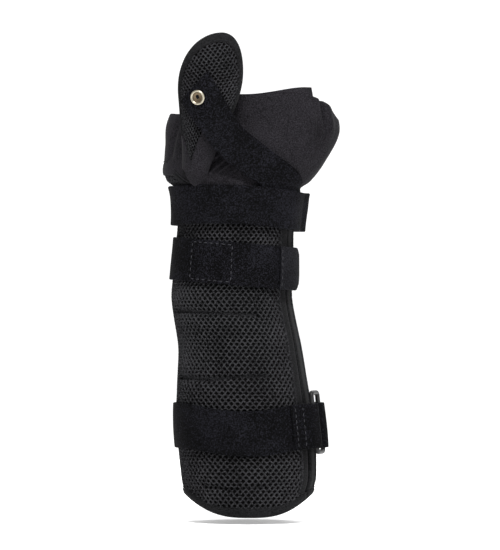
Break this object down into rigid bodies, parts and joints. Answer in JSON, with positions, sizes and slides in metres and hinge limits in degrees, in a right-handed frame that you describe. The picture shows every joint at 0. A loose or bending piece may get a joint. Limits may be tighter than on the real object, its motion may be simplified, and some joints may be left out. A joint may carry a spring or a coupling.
{
  "type": "wrist and thumb splint",
  "caption": "Long wrist and thumb splint: a mesh forearm shell with two slide-in metal stays, a stretch hand sleeve, a thumb gutter with a press-stud strap, and hook-and-loop wrist straps.",
  "frame": {"origin": "centre of the forearm opening, level with the lowest point of the hem", "axes": "+Z along the forearm towards the hand, the palm side faces -Y, the thumb is at -X"},
  "size_m": [0.1104, 0.0922, 0.299],
  "materials": {
    "spacer_mesh": "open spacer mesh, matte",
    "smooth_fabric": "smooth stretch knit, soft sheen",
    "binding_tape": "folded knit tape, soft sheen",
    "loop_webbing": "loop pile strap, matte",
    "hook_tape": "hook tape",
    "lining_cloth": "brushed lining",
    "stay_metal": "satin",
    "ring_plastic": "moulded",
    "stud_nickel": "polished nickel",
    "stud_brass": "aged brass"
  },
  "bodies": {
    "shell": {"back_edge_binding": "binding_tape", "back_lining": "lining_cloth", "back_mesh_panel": "spacer_mesh", "bottom_pull_band": "loop_webbing", "bottom_strap_band": "loop_webbing", "dorsal_stay_pocket": "lining_cloth", "front_edge_binding": "binding_tape", "front_lining": "lining_cloth", "front_mesh_panel": "spacer_mesh", "hand_sleeve_back": "smooth_fabric", "hand_sleeve_palm": "smooth_fabric", "hem_binding": "binding_tape", "left_seam_tape": "lining_cloth", "middle_strap_band": "loop_webbing", "palmar_stay_pocket": "lining_cloth", "stud_post": "stud_brass", "stud_washer": "stud_nickel", "thumb_base_panel": "smooth_fabric", "thumb_base_piping": "binding_tape", "thumb_binding": "binding_tape", "thumb_lining": "lining_cloth", "thumb_panel": "spacer_mesh", "thumb_stay": "stay_metal", "thumb_strap_anchor": "loop_webbing", "top_strap_band": "loop_webbing"},
    "palmar_stay": {"palmar_stay": "stay_metal"},
    "dorsal_stay": {"dorsal_stay": "stay_metal"},
    "top_strap_end": {"top_strap_end": "loop_webbing", "top_strap_hook": "hook_tape"},
    "middle_strap_end": {"middle_strap_end": "loop_webbing", "middle_strap_hook": "hook_tape"},
    "bottom_ring": {"bottom_ring": "ring_plastic"},
    "bottom_strap_end": {"bottom_strap_end": "loop_webbing", "bottom_strap_hook": "hook_tape"},
    "thumb_strap": {"thumb_strap": "loop_webbing", "stud_cap": "stud_nickel", "stud_socket": "stud_nickel"}
  },
  "joints": [
    {"name": "palmar_stay_slide", "type": "slide", "parent": "shell", "child": "palmar_stay", "axis": [0.0469, -0.0399, -0.9981], "range_m": [0, 0.16]},
    {"name": "dorsal_stay_slide", "type": "slide", "parent": "shell", "child": "dorsal_stay", "axis": [0.0469, 0.0399, -0.9981], "range_m": [0, 0.16]},
    {"name": "top_strap_peel", "type": "hinge", "parent": "shell", "child": "top_strap_end", "pos_m": [-0.00453, -0.03354, 0.19341], "axis": [-0.0567, -0.0398, -0.9976], "range_deg": [0, 110]},
    {"name": "middle_strap_peel", "type": "hinge", "parent": "shell", "child": "middle_strap_end", "pos_m": [-0.00677, -0.03301, 0.1567], "axis": [-0.0532, -0.0398, -0.9978], "range_deg": [0, 110]},
    {"name": "bottom_ring_turn", "type": "hinge", "parent": "shell", "child": "bottom_ring", "pos_m": [0.04009, -0.01596, 0.0565], "axis": [-0.1073, 0.0162, 0.9941], "range_deg": [-1.5, 1.5]},
    {"name": "bottom_strap_peel", "type": "hinge", "parent": "shell", "child": "bottom_strap_end", "pos_m": [0.04776, 0, 0.0565], "axis": [0.1104, 0, -0.9939], "range_deg": [0, 110]},
    {"name": "thumb_strap_lift", "type": "hinge", "parent": "shell", "child": "thumb_strap", "pos_m": [0.00647, -0.03004, 0.20606], "axis": [0.83, 0.1875, 0.5252], "range_deg": [0, 60]}
  ]
}
